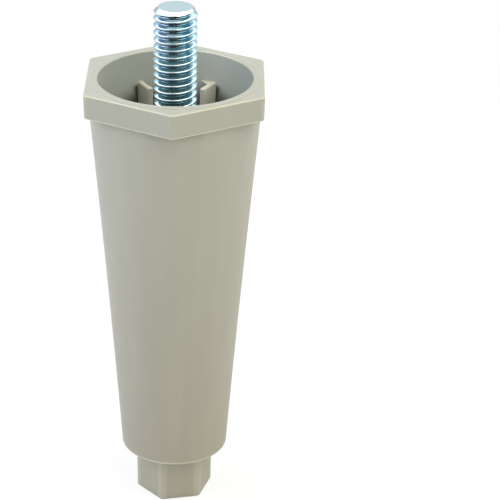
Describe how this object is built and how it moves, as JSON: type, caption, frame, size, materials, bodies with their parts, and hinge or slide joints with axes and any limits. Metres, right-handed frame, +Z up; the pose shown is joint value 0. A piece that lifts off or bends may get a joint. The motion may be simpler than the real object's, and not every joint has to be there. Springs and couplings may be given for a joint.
{
  "type": "plastic equipment leg",
  "caption": "Tapered hollow plastic leg with a hexagonal collar, a threaded steel stud on top and a hexagonal foot that screws out to level the equipment.",
  "frame": {"origin": "centre of the foot's sole, on the floor, under the leg's axis", "axes": "+Z up along the stud; one corner of the collar points along -Y and one flat faces +X"},
  "size_m": [0.038, 0.0436, 0.1173],
  "materials": {
    "leg_plastic": "grey-beige moulded plastic with a fine satin surface",
    "foot_plastic": "grey-beige moulded plastic, a little duller than the body",
    "zinc_plated_steel": "bright blue-white zinc plate on a rolled thread"
  },
  "bodies": {
    "leg": {"leg_body": "leg_plastic", "threaded_stud": "zinc_plated_steel"},
    "foot": {"adjusting_foot": "foot_plastic"}
  },
  "joints": [
    {"name": "foot_height", "type": "slide", "parent": "leg", "child": "foot", "axis": [0, 0, -1], "range_m": [0, 0.019]}
  ]
}
